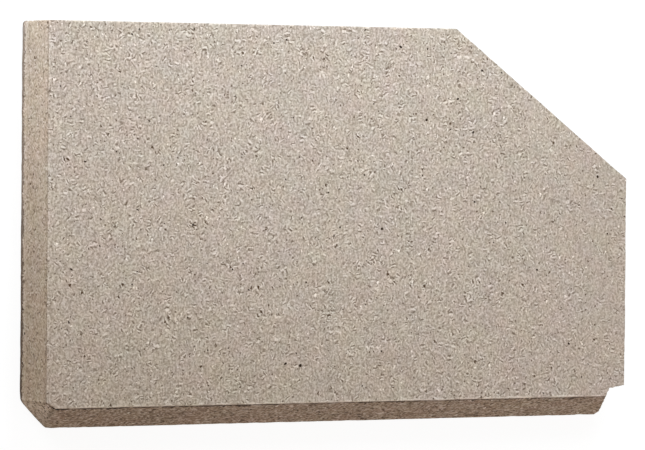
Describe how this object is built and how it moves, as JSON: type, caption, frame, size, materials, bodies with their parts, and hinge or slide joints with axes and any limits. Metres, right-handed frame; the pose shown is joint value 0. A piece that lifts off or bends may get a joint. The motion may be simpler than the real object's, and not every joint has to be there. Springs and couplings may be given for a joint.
{
  "type": "refractory firebrick",
  "caption": "Flat refractory side brick for a stove's firebox: a buff slab with a bevelled foot, a sawn heel corner, a large sloping corner cut and a small broken corner.",
  "frame": {"origin": "on the back face, which lies on the floor, in the middle of the board's length and height", "axes": "+X along the length, from the rear end with the heel cut to the front end below the sloping corner cut; +Y from the bevelled foot to the top edge; +Z out of the fire face"},
  "size_m": [0.3, 0.1761, 0.025],
  "materials": {
    "vermiculite": "matte, dense flecks of pressed vermiculite on the faces, browner on the sawn edges"
  },
  "bodies": {
    "root": {"firebrick": "vermiculite"}
  },
  "joints": []
}
